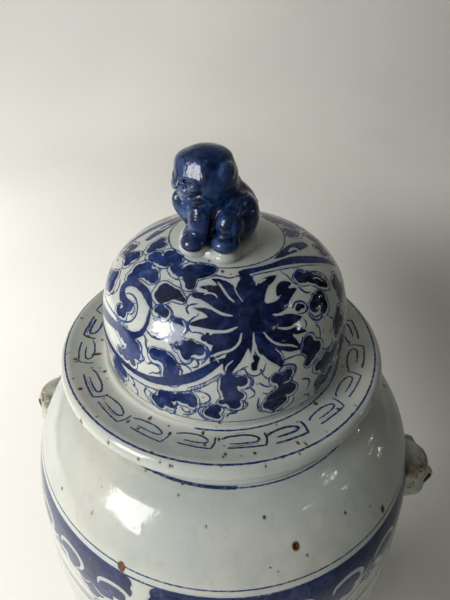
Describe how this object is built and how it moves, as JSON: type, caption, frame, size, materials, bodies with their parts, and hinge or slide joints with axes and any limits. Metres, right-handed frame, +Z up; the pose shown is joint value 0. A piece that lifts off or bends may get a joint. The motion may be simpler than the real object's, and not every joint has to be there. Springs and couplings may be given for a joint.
{
  "type": "covered ginger jar",
  "caption": "Tall baluster storage jar on a ring foot with small mask lugs at the shoulder and a lift-off domed cover with a wide flat brim and a seated lion finial.",
  "frame": {"origin": "centre of the foot ring's underside, on the plane the jar stands on", "axes": "+Z up the jar's axis; +X to the right and -Y towards the viewer in the pictured view"},
  "size_m": [0.3584, 0.3584, 0.6],
  "materials": {
    "body_glaze": "glossy grey-white glaze over cobalt painting, scattered iron specks",
    "dome_glaze": "glossy glaze, densely painted cobalt blue lotus scroll",
    "lion_glaze": "glossy deep cobalt glaze, pooled and mottled",
    "lug_glaze": "glossy off-white glaze with brown iron wash in the hollows",
    "bare_clay": "unglazed fired clay, buff"
  },
  "bodies": {
    "jar": {"foot_ring": "bare_clay", "jar_lower_body": "body_glaze", "jar_upper_body": "body_glaze", "jar_neck": "body_glaze", "front_mask_lug": "lug_glaze", "right_mask_lug": "lug_glaze", "back_mask_lug": "lug_glaze", "left_mask_lug": "lug_glaze"},
    "lid": {"lid_brim": "body_glaze", "lid_dome": "dome_glaze", "lid_locating_collar": "bare_clay", "finial_pad": "body_glaze", "lion_finial": "lion_glaze"}
  },
  "joints": [
    {"name": "lid_lift", "type": "slide", "parent": "jar", "child": "lid", "axis": [0, 0, 1], "range_m": [0, 0.15]}
  ]
}
